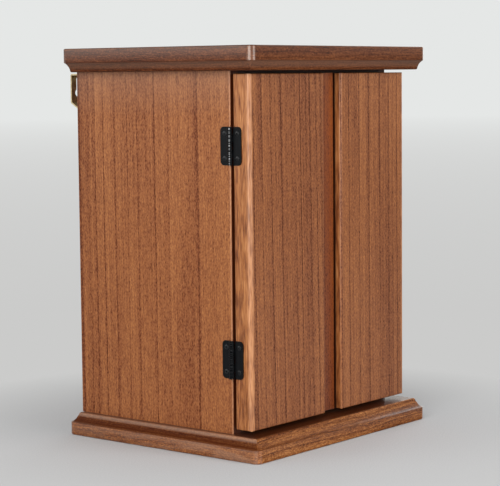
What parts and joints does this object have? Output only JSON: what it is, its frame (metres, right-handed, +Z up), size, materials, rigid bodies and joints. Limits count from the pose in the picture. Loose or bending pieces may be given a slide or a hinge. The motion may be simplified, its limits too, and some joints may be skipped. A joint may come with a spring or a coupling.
{
  "type": "buddhist home altar",
  "caption": "Small walnut home altar cabinet: moulded top and base boards, hinged overlay doors with a finger groove, inner shelf and keyhole wall hangers.",
  "frame": {"origin": "middle of the base board's flat underside, on the surface the altar stands on", "axes": "+Z up, -Y out of the front with the doors, +X to the right seen from the front"},
  "size_m": [0.296, 0.2568, 0.4],
  "materials": {
    "walnut_dark": "satin oil",
    "walnut_base": "satin oil",
    "walnut": "satin oil",
    "walnut_inside": "matt oil",
    "hinge_black": "satin black",
    "brass": "aged satin",
    "strike_steel": "satin",
    "catch_plastic": "matt"
  },
  "bodies": {
    "cabinet": {"top_board": "walnut_dark", "base_board": "walnut_base", "left_side_panel": "walnut", "right_side_panel": "walnut", "back_panel": "walnut_inside", "floor_panel": "walnut_inside", "ceiling_panel": "walnut_inside", "altar_shelf": "walnut_inside", "left_shelf_cleat": "walnut_inside", "right_shelf_cleat": "walnut_inside", "left_upper_fixed_leaf": "hinge_black", "left_upper_hinge_pin": "hinge_black", "left_lower_fixed_leaf": "hinge_black", "left_lower_hinge_pin": "hinge_black", "right_upper_fixed_leaf": "hinge_black", "right_upper_hinge_pin": "hinge_black", "right_lower_fixed_leaf": "hinge_black", "right_lower_hinge_pin": "hinge_black", "left_catch": "catch_plastic", "right_catch": "catch_plastic", "left_wall_hanger": "brass", "right_wall_hanger": "brass"},
    "left_door": {"left_door": "walnut", "left_upper_door_leaf": "hinge_black", "left_lower_door_leaf": "hinge_black", "left_strike_plate": "strike_steel"},
    "right_door": {"right_door": "walnut", "right_upper_door_leaf": "hinge_black", "right_lower_door_leaf": "hinge_black", "right_strike_plate": "strike_steel"}
  },
  "joints": [
    {"name": "left_door_hinge", "type": "hinge", "parent": "cabinet", "child": "left_door", "pos_m": [-0.13345, -0.0856, 0.2], "axis": [0, 0, -1], "range_deg": [0, 180]},
    {"name": "right_door_hinge", "type": "hinge", "parent": "cabinet", "child": "right_door", "pos_m": [0.13345, -0.0856, 0.2], "axis": [0, 0, 1], "range_deg": [0, 180]}
  ]
}
